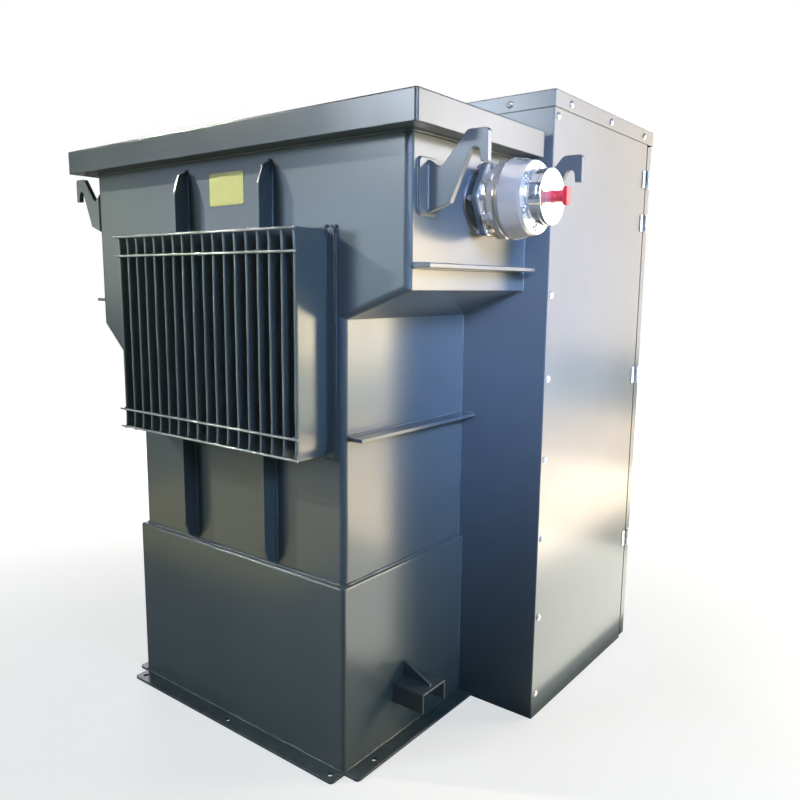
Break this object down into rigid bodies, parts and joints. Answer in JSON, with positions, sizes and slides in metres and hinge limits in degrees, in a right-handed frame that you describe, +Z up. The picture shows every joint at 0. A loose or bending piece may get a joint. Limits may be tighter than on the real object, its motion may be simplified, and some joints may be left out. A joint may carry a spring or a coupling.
{
  "type": "oil-filled power transformer with terminal cabinet",
  "caption": "Welded steel transformer tank, narrow below and flared above, with a finned cooler, lifting hooks, a relief device and a tall terminal cabinet with hinged doors.",
  "frame": {"origin": "on the ground under the middle of the tank, half way between its front wall and the cabinet's back plate", "axes": "+Z up, -Y out of the finned cooler, +X out of the relief device, +Y out of the cabinet doors"},
  "size_m": [1.837, 1.5711, 2],
  "materials": {
    "grey_paint": "satin",
    "polished_steel": "polished",
    "hinge_steel": "brushed",
    "red_plastic": "gloss",
    "yellow_plate": "satin"
  },
  "bodies": {
    "housing": {"base_plate": "grey_paint", "lower_tank": "grey_paint", "mid_tank": "grey_paint", "upper_tank": "grey_paint", "tank_rim": "grey_paint", "lid": "grey_paint", "front_rib_left": "grey_paint", "front_rib_right": "grey_paint", "radiator_panel": "grey_paint", "radiator_fins": "grey_paint", "radiator_rods": "grey_paint", "lifting_hook_front_right": "grey_paint", "lifting_hook_rear_right": "grey_paint", "lifting_hook_front_left": "grey_paint", "lifting_hook_rear_left": "grey_paint", "hook_pads": "grey_paint", "stiffener_right_upper": "grey_paint", "stiffener_left_upper": "grey_paint", "stiffener_right_mid": "grey_paint", "stiffener_left_mid": "grey_paint", "jacking_pad_right": "grey_paint", "jacking_pad_left": "grey_paint", "relief_base": "grey_paint", "cabinet_back_plate": "grey_paint", "cabinet_side_right": "grey_paint", "cabinet_side_left": "grey_paint", "cabinet_roof": "grey_paint", "cabinet_sill": "grey_paint", "relief_ring": "polished_steel", "relief_drum": "polished_steel", "relief_cap": "polished_steel", "hinge_frame_leaves_right": "hinge_steel", "hinge_frame_leaves_left": "hinge_steel", "relief_indicator_pin": "red_plastic", "label_plate": "yellow_plate"},
    "door_right": {"door_right": "grey_paint", "hinge_door_leaves_right": "hinge_steel", "door_handle": "hinge_steel"},
    "door_left": {"door_left": "grey_paint", "hinge_door_leaves_left": "hinge_steel"}
  },
  "joints": [
    {"name": "door_right_hinge", "type": "hinge", "parent": "housing", "child": "door_right", "pos_m": [0.78, 1.069, 0], "axis": [0, 0, -1], "range_deg": [0, 120]},
    {"name": "door_left_hinge", "type": "hinge", "parent": "housing", "child": "door_left", "pos_m": [-0.78, 1.069, 0], "axis": [0, 0, 1], "range_deg": [0, 120]}
  ]
}
